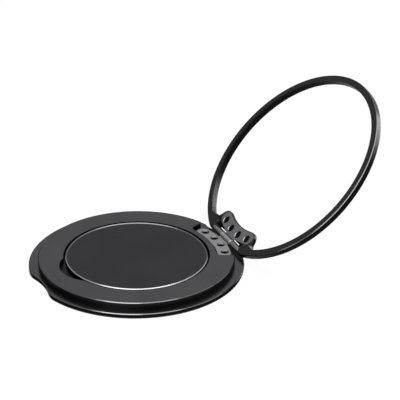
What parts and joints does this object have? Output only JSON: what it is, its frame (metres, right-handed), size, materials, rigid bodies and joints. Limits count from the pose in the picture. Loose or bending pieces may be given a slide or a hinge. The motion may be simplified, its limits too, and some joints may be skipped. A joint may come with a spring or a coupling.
{
  "type": "phone grip",
  "caption": "Round magnetic phone grip: a flat stepped base with a centre disc, and a slim ring loop on a small riveted hinge that folds flat round the plate or stands open.",
  "frame": {"origin": "centre of the flat soft face that sits on the phone", "axes": "+Z away from the phone, through the plate; +X towards the hinge; Y along the hinge axis"},
  "size_m": [0.1085, 0.0662, 0.0482],
  "materials": {
    "base_finish": "dark grey satin anodised, fine blast, bright cut edges",
    "disc_finish": "black-grey satin anodised, bright cut rim",
    "loop_finish": "black satin anodised",
    "soft_skin": "matte, fine grain",
    "leaf_steel": "satin",
    "pin_steel": "turned",
    "shield_steel": "rolled",
    "magnet_plating": "nickel plated",
    "rivet_black": "blackened"
  },
  "bodies": {
    "base": {"base_body": "base_finish", "center_disc": "disc_finish", "bottom_skin": "soft_skin", "magnet_shield": "shield_steel", "base_leaf": "leaf_steel", "magnet_01": "magnet_plating", "magnet_02": "magnet_plating", "magnet_03": "magnet_plating", "magnet_04": "magnet_plating", "magnet_05": "magnet_plating", "magnet_06": "magnet_plating", "magnet_07": "magnet_plating", "magnet_08": "magnet_plating", "magnet_09": "magnet_plating", "magnet_10": "magnet_plating", "magnet_11": "magnet_plating", "magnet_12": "magnet_plating", "magnet_13": "magnet_plating", "magnet_14": "magnet_plating", "magnet_15": "magnet_plating", "magnet_16": "magnet_plating", "base_rivet_1": "rivet_black", "base_rivet_2": "rivet_black", "base_rivet_3": "rivet_black", "base_rivet_4": "rivet_black"},
    "loop": {"loop_frame": "loop_finish", "loop_leaf": "leaf_steel", "hinge_pin": "pin_steel", "loop_rivet_1": "rivet_black", "loop_rivet_2": "rivet_black", "loop_rivet_3": "rivet_black", "loop_rivet_4": "rivet_black"}
  },
  "joints": [
    {"name": "loop_hinge", "type": "hinge", "parent": "base", "child": "loop", "pos_m": [0.03055, 0, 0.0026], "axis": [0, 1, 0], "range_deg": [-135, 45]}
  ]
}
